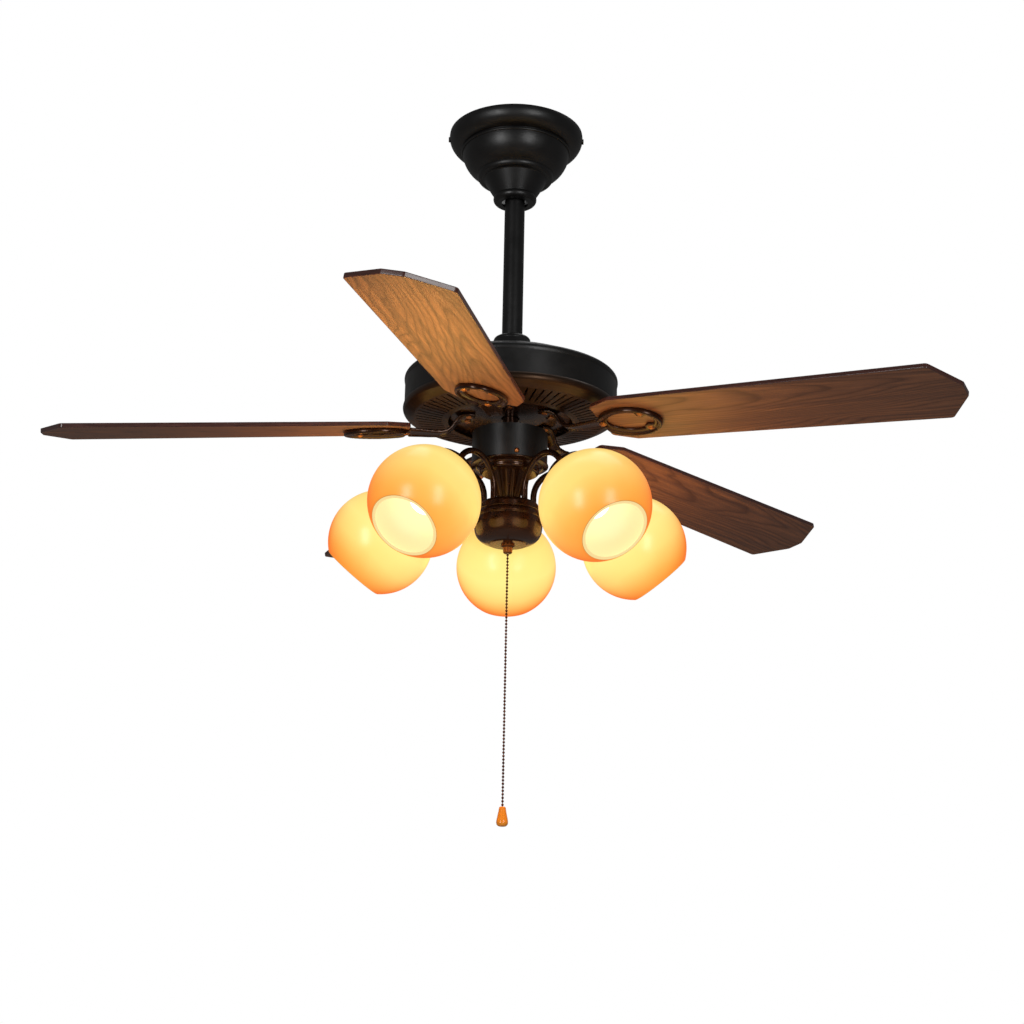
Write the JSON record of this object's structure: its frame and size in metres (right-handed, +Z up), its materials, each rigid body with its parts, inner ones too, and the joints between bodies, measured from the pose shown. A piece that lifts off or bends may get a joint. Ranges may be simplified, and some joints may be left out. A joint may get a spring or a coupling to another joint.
{
  "type": "ceiling fan with light",
  "caption": "Ceiling fan on a short downrod with pitched wooden blades on cast irons, a vented motor drum and a light kit of tilted amber globes with a pull chain.",
  "frame": {"origin": "centre of the hanger bracket's ceiling face, between its two box screws", "axes": "+Z up into the ceiling along the fan's axis, +X along the line of the two box screws"},
  "size_m": [1.0969, 1.1088, 0.92],
  "materials": {
    "satin_black": "satin powder coat",
    "gloss_black": "gloss enamel",
    "steel": "zinc plated",
    "cast_alloy": "as cast",
    "lamination_steel": "varnished stack",
    "copper": "enamelled copper wire",
    "bronze_screw": "antique copper plate",
    "blade_wood": "dark walnut veneer, satin lacquer",
    "amber_glass": "amber opal glass, lit",
    "lamp_glass": "frosted lamp envelope, lit",
    "black_plastic": "moulded phenolic",
    "nylon": "glass-filled nylon",
    "wire_insulation": "extruded insulation",
    "chain_brass": "antique brass ball chain",
    "fob_amber": "moulded amber resin"
  },
  "bodies": {
    "mount": {"hanger_bracket": "steel", "canopy": "satin_black", "canopy_screws": "satin_black"},
    "hanger_ball": {"hanger_ball": "nylon"},
    "suspension": {"cross_pins": "steel", "downrod": "satin_black", "motor_coupling": "steel", "coupling_cover": "satin_black", "motor_housing": "satin_black", "housing_base": "satin_black", "motor_shaft": "steel", "stator_core": "lamination_steel", "stator_windings": "copper", "bearing_inner_races": "steel", "lead_wires": "wire_insulation", "switch_plate": "steel", "switch_housing": "satin_black", "switch_housing_screws": "bronze_screw", "capacitor": "black_plastic", "kit_pan": "satin_black", "kit_column": "satin_black", "kit_cup": "satin_black", "kit_cap": "satin_black", "chain_outlet": "satin_black", "pull_switch": "black_plastic", "fitter_caps": "satin_black", "lampholders": "black_plastic", "bulbs": "lamp_glass", "globe_screws": "satin_black", "kit_arm_1": "satin_black", "kit_arm_2": "satin_black", "kit_arm_3": "satin_black", "kit_arm_4": "satin_black", "kit_arm_5": "satin_black", "globe_1": "amber_glass", "globe_2": "amber_glass", "globe_3": "amber_glass", "globe_4": "amber_glass", "globe_5": "amber_glass"},
    "rotor": {"rotor_ring": "lamination_steel", "rotor_upper_shell": "cast_alloy", "rotor_lower_shell": "gloss_black", "bearing_outer_races": "steel", "bearing_balls": "steel", "iron_screws": "bronze_screw", "blade_screws": "bronze_screw", "blade_1": "blade_wood", "blade_2": "blade_wood", "blade_3": "blade_wood", "blade_4": "blade_wood", "blade_5": "blade_wood", "blade_iron_1": "gloss_black", "blade_iron_2": "gloss_black", "blade_iron_3": "gloss_black", "blade_iron_4": "gloss_black", "blade_iron_5": "gloss_black"},
    "pull_chain": {"switch_plunger": "chain_brass", "switch_spring": "steel", "pull_chain": "chain_brass", "fob": "fob_amber"}
  },
  "joints": [
    {"name": "ball_rock", "type": "hinge", "parent": "mount", "child": "hanger_ball", "pos_m": [0, 0, -0.045], "axis": [1, 0, 0], "range_deg": [-2.5, 2.5]},
    {"name": "rod_rock", "type": "hinge", "parent": "hanger_ball", "child": "suspension", "pos_m": [0, 0, -0.045], "axis": [0, 1, 0], "range_deg": [-2.5, 2.5]},
    {"name": "rotor_spin", "type": "hinge", "parent": "suspension", "child": "rotor", "pos_m": [0, 0, -0.4], "axis": [0, 0, 1], "continuous": true},
    {"name": "chain_pull", "type": "slide", "parent": "suspension", "child": "pull_chain", "axis": [0, 0, -1], "range_m": [0, 0.01], "stiffness_N_per_m": 300, "springref_m": -0.002, "deforming": ["switch_spring"]}
  ]
}
